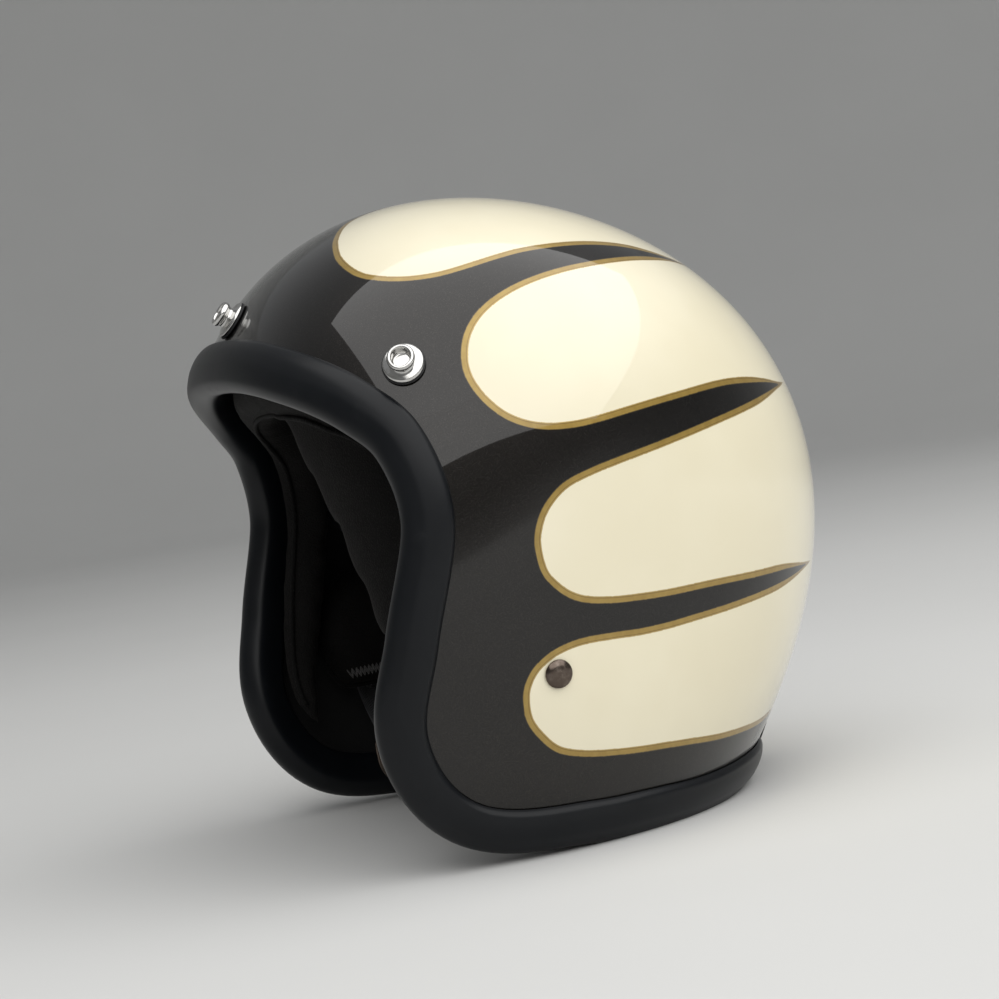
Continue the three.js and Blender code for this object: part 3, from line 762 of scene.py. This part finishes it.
def stuffed(obj, name, voxel=0.0034, cap=0.0026):
    """The cover remeshed as an even cloth, blown up a little, and smoothed."""
    only(obj)
    bpy.ops.object.duplicate()
    pad = bpy.context.object
    bpy.data.objects.remove(obj)
    pad.name = pad.data.name = name
    only(pad)
    pad.data.remesh_voxel_size = voxel
    bpy.ops.object.voxel_remesh()
    apply(pad, "SMOOTH", factor=0.5, iterations=4)
    start = points_of(pad)
    cloth = pad.modifiers.new("Cloth", "CLOTH")
    cloth.settings.use_pressure = True
    cloth.settings.uniform_pressure_force = 4.0
    cloth.settings.effector_weights.gravity = 0
    cloth.settings.mass = 0.25
    cloth.settings.quality = 6
    cloth.point_cache.frame_start, cloth.point_cache.frame_end = 1, SIM_FRAMES
    for k in range(1, SIM_FRAMES + 1):
        bpy.context.scene.frame_set(k)
    only(pad)
    bpy.ops.object.modifier_apply(modifier=cloth.name)
    bpy.context.scene.frame_set(1)
    move = points_of(pad) - start
    far = np.linalg.norm(move, axis=1, keepdims=True)
    move_points(pad, start + move * np.minimum(1, cap / np.maximum(far, 1e-9)))
    apply(pad, "SMOOTH", factor=0.4, iterations=2)
    apply(pad, "SUBSURF", levels=1, render_levels=1)
    smooth(pad)
    return pad


def sagging(t):
    """How far the middle of the brow roll hangs below its ends, as a share."""
    return np.maximum(0, 1 - (t / 0.5) ** 2) ** 2


ROLL_INTO, ROLL_OVER, ROLL_SHRINK = 5, -25, 1.3


def roll_rows(middle, span, steps, knots, droop=0.0):
    """Rings of a roll along a part of the edge, a little slimmer than the stuffed roll and closing at its ends."""
    t = np.sin(np.linspace(-1, 1, steps) * math.pi / 2)
    at, out, way = part_of_edge(middle, span, t)
    ring = smooth_line(knots, closed=True, per=4)
    centre = np.array([6.5, -25.0])
    away = ring - centre
    ring = centre + away * (1 - ROLL_SHRINK / np.linalg.norm(away, axis=1, keepdims=True))
    taper = np.maximum(0.03, np.sqrt(np.maximum(0, 1 - t ** 6)))[:, None]
    sag = 1 + droop * sagging(t)[:, None] * (ring[None, :, 0] > 0)
    into = ROLL_INTO + (ring[None, :, 0] * sag - ROLL_INTO) * taper
    over = ROLL_OVER + (ring[None, :, 1] - ROLL_OVER) * taper
    return stand(from_edge((at[:, None], out[:, None], way[:, None]), into, over))


BROW = [(-1.5, -14), (4, -12.8), (10, -14), (14.5, -18), (16, -24), (14, -31), (8, -36.5), (2, -37.5), (-1.5, -36)]
NECK = [(-1.5, -16), (4, -15), (10, -16), (14, -20), (15, -26), (12, -33), (6, -37), (1, -37.5), (-1.5, -36)]
BROW_MIDDLE, BROW_SPAN, BROW_DROOP = 0, 108, 0.5
NECK_MIDDLE, NECK_SPAN = 200, 50
brow_cover = bent_grid("brow_cover", roll_rows(BROW_MIDDLE, BROW_SPAN, 180, BROW, BROW_DROOP), caps=True)
brow = stuffed(brow_cover, "brow_roll_pad")
settle(brow, "helmet", ["brow_pad"], PAD_CLOTH)
neck_cover = bent_grid("neck_cover", roll_rows(NECK_MIDDLE, NECK_SPAN, 84, NECK), caps=True)
neck = stuffed(neck_cover, "neck_roll_pad", voxel=0.003)
settle(neck, "helmet", ["neck_roll"], PAD_CLOTH)

PAD_FRONT = [(78, -8), (68.5, -14), (65.5, -22), (70, -31)]
PAD_REAR = [(105, -13), (112, -19), (112.5, -26), (105, -33)]


def along(knots, t):
    """Points at shares t, 0 to 1, of the smooth line through the knots."""
    line = smooth_line(knots, per=24)
    f = np.clip(t, 0, 1) * (len(line) - 1)
    i = np.minimum(f.astype(int), len(line) - 2)
    return line[i] + (line[i + 1] - line[i]) * (f - i)[:, None]


def cushion_points(side, u, v, inner):
    """Points of a cheek pad: u from its front (-1) to its rear (1), v from its top (-1) to its foot (1)."""
    f, r = along(PAD_FRONT, (v + 1) / 2), along(PAD_REAR, (v + 1) / 2)
    q = f + (r - f) * ((u + 1) / 2)[:, None]
    puff = np.sqrt(np.maximum(0, (1 - u ** 6) * (1 - v ** 6)))
    depth = np.where(inner, 20.5 + 13.6 * puff, 19 - 5.0 * puff)
    return below(aim(side * q[:, 0], q[:, 1]), depth)


def cushion(side):
    """Rings round a cheek pad, from its top to its foot."""
    v = np.sin(np.linspace(-1, 1, 34) * math.pi / 2) * 0.985
    u = np.sin(np.linspace(-1, 1, 40) * math.pi / 2) * 0.985
    rows = []
    for k in v:
        w = np.full(len(u), k)
        rows.append(np.vstack([cushion_points(side, u, w, True), cushion_points(side, u[::-1], w, False)]))
    return stand(np.array(rows))


# ---- seams and stitches --------------------------------------------------------------------
def tube(name, path, radius, closed=False, round_steps=8):
    """A round cord along a path of points, in metres."""
    path = np.asarray(path)
    if closed:
        run = np.roll(path, -1, 0) - np.roll(path, 1, 0)
    else:
        run = np.gradient(path, axis=0)
    run = unit(run)
    side = np.cross(run[0], [0.31, 0.22, 0.92])
    sides = []
    for r in run:
        side = side - r * (side @ r)
        side = side / np.linalg.norm(side)
        sides.append(side)
    sides = np.array(sides)
    if closed:
        a = sides[-1] - run[0] * (sides[-1] @ run[0])
        a /= np.linalg.norm(a)
        twist = math.atan2(np.cross(a, sides[0]) @ run[0], a @ sides[0])
        for i in range(len(sides)):
            b = twist * i / len(sides)
            sides[i] = sides[i] * math.cos(b) + np.cross(run[i], sides[i]) * math.sin(b)
    other = np.cross(run, sides)
    a = np.linspace(0, 2 * math.pi, round_steps, endpoint=False)[None, :, None]
    rows = path[:, None] + radius * (sides[:, None] * np.cos(a) + other[:, None] * np.sin(a))
    return bent_grid(name, rows, wrap_rows=closed, caps=not closed)


def stitches(name, ends, radius, finish, body):
    """One small capsule modelled, then copied to every pair of end points and joined."""
    bpy.ops.object.select_all(action="DESELECT")
    bpy.ops.mesh.primitive_uv_sphere_add(segments=6, ring_count=5, radius=1, location=(0, 0, 0))
    first = bpy.context.object
    smooth(first)
    copies = []
    for a, b in ends:
        a, b = Vector(a), Vector(b)
        one = first.copy()
        one.data = first.data.copy()
        bpy.context.collection.objects.link(one)
        turn = (b - a).to_track_quat("Z", "Y").to_matrix().to_4x4()
        size = Matrix.Diagonal((radius, radius, (b - a).length * 0.5 + radius, 1))
        one.data.transform(Matrix.Translation((a + b) / 2) @ turn @ size)
        copies.append(one)
    bpy.data.objects.remove(first)
    bpy.ops.object.select_all(action="DESELECT")
    for one in copies:
        one.select_set(True)
    bpy.context.view_layer.objects.active = copies[0]
    bpy.ops.object.join()
    obj = bpy.context.object
    obj.name = obj.data.name = name
    return settle(obj, body, (), finish)


def skin(obj):
    """A piece's faces, ready to find the nearest place on them."""
    return BVHTree.FromPolygons([v.co.copy() for v in obj.data.vertices], [list(p.vertices) for p in obj.data.polygons])


def laid_on(tree, points, lift):
    """Each point moved to the nearest place on a piece's skin, and lifted off it."""
    out = []
    for q in points:
        at, normal, _, _ = tree.find_nearest(Vector(q))
        out.append(at + normal * lift)
    return np.array(out)


for side, word in ((1, "left"), (-1, "right")):
    pad = stuffed(bent_grid("cheek_cover", cushion(side), caps=True), f"cheek_cushion_{word}", cap=0.0024)
    settle(pad, "helmet", [f"cheek_pad_{word}"], PAD_CLOTH)
    tree = skin(pad)
    k = np.linspace(-0.97, 0.97, 44)
    one = np.ones_like(k)
    border_u = np.concatenate([k, one * 0.985, k[::-1], -one * 0.985])
    border_v = np.concatenate([-one * 0.985, k, one * 0.985, k[::-1]])
    border = (cushion_points(side, border_u, border_v, np.ones(len(border_u), bool))
              + cushion_points(side, border_u, border_v, np.zeros(len(border_u), bool))) / 2
    border = spaced(smooth_line(border[::4], True, 8), 220, True)
    welt = laid_on(tree, stand(border), 0.0006)
    for _ in range(6):
        welt = (np.roll(welt, 1, 0) + welt * 2 + np.roll(welt, -1, 0)) / 4
    cord = tube(f"cheek_welt_{word}", welt, 0.00115, closed=True)
    settle(cord, "helmet", (), CLOTH)
    # overlock zigzag along the foot of the cover
    k = np.linspace(0.86, -0.90, 61)
    foot = cushion_points(side, k, np.where(np.arange(61) % 2, 0.90, 0.76), np.ones(61, bool))
    p = laid_on(tree, stand(foot), 0.0003)
    ends = list(zip(p[:-1], p[1:]))
    stitches(f"cheek_stitches_{word}", ends, 0.00042, PALE_THREAD, "helmet")


def roll_cord(name, roll, middle, span, steps, spot, droop=0.0):
    """A piped seam that runs the length of a roll, on its skin."""
    t = np.linspace(-0.965, 0.965, steps)
    taper = np.sqrt(1 - t ** 6)
    into = ROLL_INTO + (spot[0] * (1 + droop * sagging(t)) - ROLL_INTO) * taper
    p = from_edge(part_of_edge(middle, span, t), into, ROLL_OVER + (spot[1] - ROLL_OVER) * taper)
    path = laid_on(skin(roll), stand(p), 0.0004)
    for _ in range(6):
        path[1:-1] = (path[:-2] + path[1:-1] * 2 + path[2:]) / 4
    return settle(tube(name, path, 0.0011), "helmet", (), CLOTH)


roll_cord("brow_roll_welt", brow, BROW_MIDDLE, BROW_SPAN, 260, (15.4, -27), BROW_DROOP)
roll_cord("neck_roll_welt", neck, NECK_MIDDLE, NECK_SPAN, 130, (13.4, -31))

# ---- snaps and rivets ----------------------------------------------------------------------
# Each section runs from the axis out and back to it: how far from the axis, and how far out from the paint.
SNAP = rounded([(0, -7.8), (3.4, -7.8), (3.4, -6.8), (2.4, -6.6), (2.4, 1.0), (7.3, 1.0), (7.7, 1.25), (7.7, 1.75),
                (7.1, 2.35), (5.4, 2.75), (4.4, 3.2), (4.1, 4.0), (4.3, 4.7), (5.0, 5.3), (5.2, 5.9),
                (5.15, 6.9), (4.7, 7.45), (4.2, 7.6), (3.65, 7.35), (3.45, 6.7), (3.4, 3.7), (2.9, 3.4),
                (0, 3.4)], 0.3)
GASKET = rounded([(2.9, 0.25), (8.1, 0.25), (8.1, 0.95), (2.9, 0.95)], 0.2, closed=True)
GASKET.append(GASKET[0])
for word, spot in SNAPS.items():
    where = fitting(spot)
    stud = turned(f"brow_snap_{word}_chrome", SNAP, where, 72)
    settle(stud, "helmet", [f"brow_snap_{word}_stud"], CHROME)
    ring = turned(f"brow_snap_{word}_washer", GASKET, where, 48)
    settle(ring, "helmet", [f"brow_snap_{word}_gasket"], WASHER)

RIVET = rounded([(0, -8.9), (4, -8.7), (4, -7.8), (2.4, -7.6), (2.4, 0.3), (5.15, 0.3), (5.35, 0.6), (5.2, 1.1),
                 (4.5, 1.75), (3.4, 2.25), (1.8, 2.6), (0, 2.7)], 0.35)
for word, spot in RIVETS.items():
    head = turned(f"strap_rivet_{word}_head", RIVET, fitting(spot))
    settle(head, "helmet", [f"strap_rivet_{word}"], NICKEL)

CUP_STUD = rounded([(0, -7.8), (3.4, -7.8), (3.4, -6.8), (2.4, -6.6), (2.4, 0.6), (6, 0.6), (6, 1.3), (3, 1.6),
                    (2.7, 3), (3.2, 3.8), (3, 4.6), (1.8, 5), (0, 5)], 0.25)
CUP = rounded([(0, 5.8), (4.2, 5.8), (4.4, 3.2), (5, 3.2), (5, 6.6), (6.6, 6.8), (6.65, 7.3), (6.3, 7.85), (5, 8.4),
               (2.6, 8.8), (0, 8.9)], 0.3)
where = fitting(GOGGLE)
settle(turned("goggle_snap_post", CUP_STUD, where, 48), "helmet", ["goggle_snap_stud"], CHROME)
settle(turned("goggle_snap_button", CUP, where), "goggle_flap", ["goggle_snap_cap"], CHROME)


# ---- straps --------------------------------------------------------------------------------
def flat_band(name, path, across, wide, thick, closed=False, crown=0.12, round_end=False):
    """A flat strap along points in shell millimetres, with rolled edges, its weave laid out in millimetres."""
    path = np.asarray(path, float)
    run = unit(np.roll(path, -1, 0) - np.roll(path, 1, 0)) if closed else unit(np.gradient(path, axis=0))
    across = np.broadcast_to(unit(np.asarray(across, float)), path.shape)
    up = unit(np.cross(run, across))
    a = np.linspace(-1, 1, 13)
    flat = np.sin(a * math.pi / 2)
    half = thick / 2
    bow = half * (1 + crown * (1 - flat ** 2)) * np.minimum(1, np.sqrt(np.maximum(0, 1 - np.abs(flat) ** 22)) + 0.45)
    top = np.stack([flat * wide / 2, bow], 1)
    foot = np.stack([flat[::-1] * wide / 2, -bow[::-1]], 1)
    ring = np.vstack([top, [(wide / 2 + half * 0.35, 0)], foot, [(-wide / 2 - half * 0.35, 0)]])
    width = np.ones(len(path))
    if round_end:
        s = length_so_far(path)
        left = np.clip((s[-1] - s) / (wide / 2), 0, 1)
        width = np.sqrt(np.maximum(0.02, 1 - (1 - left) ** 2)) * 0.985 + 0.015
    rows = stand(path[:, None] + across[:, None] * ring[None, :, 0, None] * width[:, None, None]
                 + up[:, None] * ring[None, :, 1, None])
    rows[..., 2] = np.maximum(rows[..., 2], 0.0)
    length = np.linalg.norm(np.diff(path, axis=0), axis=1).sum()
    obj = bent_grid(name, rows, wrap_rows=closed, caps=not closed, keep_uv=(2 * wide + 2 * thick, length))
    smooth(obj, 55)
    return obj


def in_frame(m, points):
    """Points [across, outward, down] in a strap's own frame, as points of the shell's frame."""
    r = np.array(m)[:3]
    return np.asarray(points, float) @ r[:, :3].T + r[:, 3]


def strap_frame(word):
    """A rivet's frame turned over, so that it runs down the strap."""
    m = fitting(RIVETS[word])
    for i in range(3):
        m[i][0], m[i][2] = -m[i][0], -m[i][2]
    return m


# How far down from the rivet, and how far in, each half of the chin strap runs.
STRAP_PATHS = {
    "left": [(8, 8.6), (16, 9.8), (28, 14.5), (40, 21.3), (50, 27.6), (57, 34), (61.5, 44), (64.8, 60), (69.5, 90),
             (73.5, 123), (76, 155)],
    "right": [(8, 8.6), (15, 9.6), (22, 12.5), (29, 18.5), (35, 25), (39.5, 30.3), (41.2, 32.9)]}
RING_DOWN, RING_IN = 42, 37


def box_stitch(line, across, at, long, wide, lift):
    """Ends of the stitches of a sewn box with a cross, on a strap's face."""
    s = length_so_far(line)
    run = unit(np.gradient(line, axis=0))
    up = unit(np.cross(run, across))

    def spot(along_by, over):
        return at_length(line, s, along_by) + across * over + at_length(up, s, along_by) * lift

    corners = [(at, -wide), (at + long, -wide), (at + long, wide), (at, wide), (at, -wide), (at + long, wide),
               (at + long, -wide), (at, wide)]
    ends = []
    for a, b in zip(corners[:-1], corners[1:]):
        a, b = np.array(a), np.array(b)
        count = max(2, int(np.linalg.norm(b - a) / 2.6))
        for k in range(count):
            p, q = a + (b - a) * (k + 0.12) / count, a + (b - a) * (k + 0.88) / count
            ends.append((stand(spot(*p)), stand(spot(*q))))
    return ends


for word in ("left", "right"):
    m = strap_frame(word)
    body = f"{word}_strap"
    knots = [(0, -i, dn) for dn, i in STRAP_PATHS[word]]
    line = spaced(smooth_line(knots, per=30), 150 if word == "left" else 60)
    path = in_frame(m, line)
    across = np.array(m)[:3, 0]
    web = flat_band(f"chin_webbing_{word}", path, across, 25, 2, round_end=word == "left")
    settle(web, body, [f"chin_strap_{word}"], WEBBING)
    ends = []
    for lift in (1.22, -1.22):
        ends += box_stitch(path, across, 2.5, 10, 8.5, lift)
    stitches(f"chin_stitches_{word}", ends, 0.00034, THREAD, body)

m = strap_frame("right")
across = np.array(m)[:3, 0]
a = np.linspace(-math.pi / 2, math.pi / 2, 14)
half = 2.775
loop = [(half * math.sin(t), 2 + half * math.cos(t)) for t in a]
loop += [(-down, -inward) for down, inward in loop]
loop = spaced(np.array([(0, -(RING_IN + inward), RING_DOWN + down) for down, inward in loop]), 64, True)
sewn = flat_band("ring_loop_webbing", in_frame(m, loop), across, 25, 1.85, closed=True, crown=0.05)
settle(sewn, "right_strap", (), WEBBING)


def d_ring(name, inward, body, node):
    """A D-ring bent from round wire: its straight bar lies in the sewn loop."""
    r = 30.6 / 2
    rise = 22 - r * 0.9
    right = [(r - 2.4, 0), (r - 1.2, 0.2), (r - 0.35, 0.95), (r, 2.2), (r, rise)]
    bow = [(r * math.cos(t), rise + r * 0.9 * math.sin(t)) for t in np.radians(np.arange(8, 90, 8))]
    half = right + bow
    ring = [(x, 0, z) for x, z in half] + [(0, 0, 22)] + [(-x, 0, z) for x, z in half[::-1]]
    ring = spaced(np.vstack([smooth_line(ring, per=8), [(r - 2.4, 0, 0)]]), 160, True)
    path = in_frame(m, ring + [0, -inward, RING_DOWN])
    wire = tube(name, stand(path), 0.0014, closed=True, round_steps=18)
    return settle(wire, body, [node], NICKEL)


d_ring("d_ring_outer_wire", RING_IN - 1.7, "outer_ring", "d_ring_outer")
d_ring("d_ring_inner_wire", RING_IN + 1.7, "inner_ring", "d_ring_inner")

# ---- goggle strap --------------------------------------------------------------------------
nape = tuple(v[4:5] for v in edge_frames(FINE_LOOP[796:805], closed=False))
ANCHOR = [(3, -12.9), (10, -12.7), (16.6, -11.2), (19.9, -7.4), (20.6, -2.6), (19.5, 1.8), (17, 4.8), (12.4, 6.4)]
FLAP = [(11, 6.8), (4, 6.8), (-6, 5.8), (-18, 5), (-30, 5.2), (-42, 5.6)]


def nape_strap(name, knots, body, node, round_end):
    """A leather strap at the middle of the nape, with a row of stitches along each side."""
    p = np.array(knots)
    at, out, way = (np.repeat(v, len(p), 0) for v in nape)
    line = spaced(smooth_line(from_edge((at, out, way), p[:, 0], p[:, 1]), per=24), 70)
    line[:, 0] = 0
    obj = flat_band(name, line, (1, 0, 0), 20, 1.8, round_end=round_end)
    settle(obj, body, [node], LEATHER)
    run = unit(np.gradient(line, axis=0))
    up = unit(np.cross(run, [1.0, 0, 0]))
    up *= np.sign(np.sum(up * outward(unit(line)), 1, keepdims=True))
    s = length_so_far(line)
    ends = []
    stop = s[-1] - (8 if round_end else 1.5)
    for over in (-7.9, 7.9):
        for start in np.arange(1.5, stop - 2, 3.1):
            k = np.array([start, start + 2.2])
            ends.append(stand(at_length(line, s, k) + np.array([over, 0, 0]) + at_length(up, s, k) * 1.02))
    stitches(f"{name}_stitches", ends, 0.0003, PALE_THREAD, body)


nape_strap("goggle_strap_tab", ANCHOR, "helmet", "goggle_strap_anchor", False)
nape_strap("goggle_strap_leather", FLAP, "goggle_flap", "goggle_strap_flap", True)

# ---- the CAD pieces kept as they are --------------------------------------------------------
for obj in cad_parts.values():
    if not obj.hide_render:
        obj.data.materials.clear()
        obj.data.materials.append(STEEL)


# ---- floor, light and camera ---------------------------------------------------------------
def paper_dish():
    """A pale floor that curves up all round into a low wall, so that no line shows behind the helmet."""
    bpy.ops.object.select_all(action="DESELECT")
    bpy.ops.mesh.primitive_circle_add(vertices=96, radius=0.5, fill_type="NGON", location=(0, 0, 0))
    dish = bpy.context.object
    dish.name = dish.data.name = "floor"
    open_mesh()
    bpy.ops.mesh.select_mode(type="EDGE")
    bpy.ops.mesh.region_to_loop()
    flat, bend = 2.6, 1.6
    wide, high = 0.5, 0.0
    turn = np.radians(np.arange(9, 91, 9))
    curve = [(flat, 0.0)] + [(flat + bend * math.sin(t), bend - bend * math.cos(t)) for t in turn]
    for r, h in curve + [(flat + bend, 2.4)]:
        bpy.ops.mesh.extrude_region_move(TRANSFORM_OT_translate={"value": (0, 0, h - high)})
        bpy.ops.transform.resize(value=(r / wide, r / wide, 1), center_override=(0, 0, h))
        wide, high = r, h
    close_mesh()
    smooth(dish)
    paper = Finish("floor_paper", Roughness=0.8)
    paper.wear(Base_Color=paper.mix(paper.noise(3, 3), rgb(0.60, 0.60, 0.59), rgb(0.64, 0.64, 0.63)))
    dish.data.materials.append(paper.material)


paper_dish()


def softbox(name, at, look, wide, tall, power, tint):
    lamp = bpy.data.lights.new(name, "AREA")
    lamp.shape = "RECTANGLE"
    lamp.size, lamp.size_y, lamp.energy, lamp.color = wide, tall, power, tint
    obj = bpy.data.objects.new(name, lamp)
    bpy.context.collection.objects.link(obj)
    obj.location = at
    obj.rotation_mode = "QUATERNION"
    obj.rotation_quaternion = (Vector(look) - Vector(at)).to_track_quat("-Z", "Y")
    obj.visible_camera = False


softbox("sky", (1.075, 0.4, 1.35), (0.60, 0.4, 0.155), 3.2, 3.3, 62, (1.0, 0.995, 0.985))

world = bpy.data.worlds.new("studio")
bpy.context.scene.world = world
world.use_nodes = True
world.node_tree.nodes["Background"].inputs[0].default_value = rgb(0.70, 0.71, 0.72)
world.node_tree.nodes["Background"].inputs[1].default_value = 0.40
bpy.context.scene.view_settings.view_transform = "Standard"

eye = bpy.data.cameras.new("camera")
eye.lens = 88.92
eye.sensor_width = 36
camera = bpy.data.objects.new("camera", eye)
bpy.context.collection.objects.link(camera)
camera.location = (0.9438, -0.34839, 0.17571)
camera.rotation_mode = "QUATERNION"
camera.rotation_quaternion = (Vector((-0.93936, 0.33948, -0.04854)).to_track_quat("-Z", "Y")
                              @ Quaternion((0, 0, 1), math.radians(-8.32)))
bpy.context.scene.camera = camera
